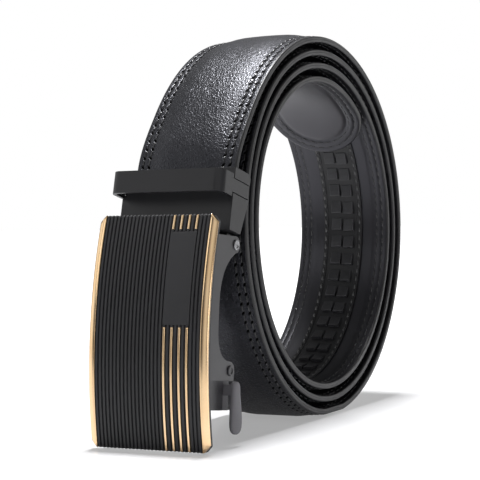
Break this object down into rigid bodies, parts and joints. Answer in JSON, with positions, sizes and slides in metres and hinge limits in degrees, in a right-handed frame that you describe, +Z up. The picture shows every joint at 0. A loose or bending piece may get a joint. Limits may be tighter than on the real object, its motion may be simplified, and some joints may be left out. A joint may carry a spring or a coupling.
{
  "type": "ratchet belt",
  "caption": "Coiled leather ratchet belt with a stitched strap, a toothed track, a metal clamp with a keeper ring, and a hinged ribbed buckle with a release lever.",
  "frame": {"origin": "on the surface the belt rests on, under the middle of its whole box", "axes": "+Z up, +X across the strap toward the lever's side, -Y the way the buckle's face looks"},
  "size_m": [0.041, 0.1538, 0.1279],
  "materials": {
    "outer_leather": "pebbled, satin",
    "inner_leather": "smooth, matt",
    "track_plastic": "matt",
    "clamp_black": "satin black",
    "frame_grey": "gunmetal, satin",
    "plate_black": "matt black",
    "gold": "polished gold",
    "pin_steel": "bright"
  },
  "bodies": {
    "root": {"outer_leather": "outer_leather", "backing_leather": "inner_leather", "ratchet_track": "track_plastic", "clamp_body": "clamp_black", "clamp_jaw": "frame_grey", "keeper_ring": "clamp_black"},
    "buckle": {"face_plate": "plate_black", "smooth_panel": "plate_black", "gold_edge_left": "gold", "gold_edge_right": "gold", "gold_line_upper_1": "gold", "gold_line_upper_2": "gold", "gold_line_upper_3": "gold", "gold_line_upper_4": "gold", "gold_line_lower_1": "gold", "gold_line_lower_2": "gold", "gold_line_lower_3": "gold", "gold_line_lower_4": "gold", "buckle_frame": "frame_grey", "hinge_pin": "pin_steel"},
    "lever": {"pawl_pin": "pin_steel", "release_lever": "frame_grey"}
  },
  "joints": [
    {"name": "buckle_hinge", "type": "hinge", "parent": "root", "child": "buckle", "pos_m": [0, -0.05285, 0.05986], "axis": [1, 0, 0], "range_deg": [-12, 12]},
    {"name": "lever_hinge", "type": "hinge", "parent": "buckle", "child": "lever", "pos_m": [0, -0.05856, 0.02268], "axis": [1, 0, 0], "range_deg": [0, 12], "stiffness_Nm_per_rad": 0.02, "springref_deg": -11.46}
  ]
}
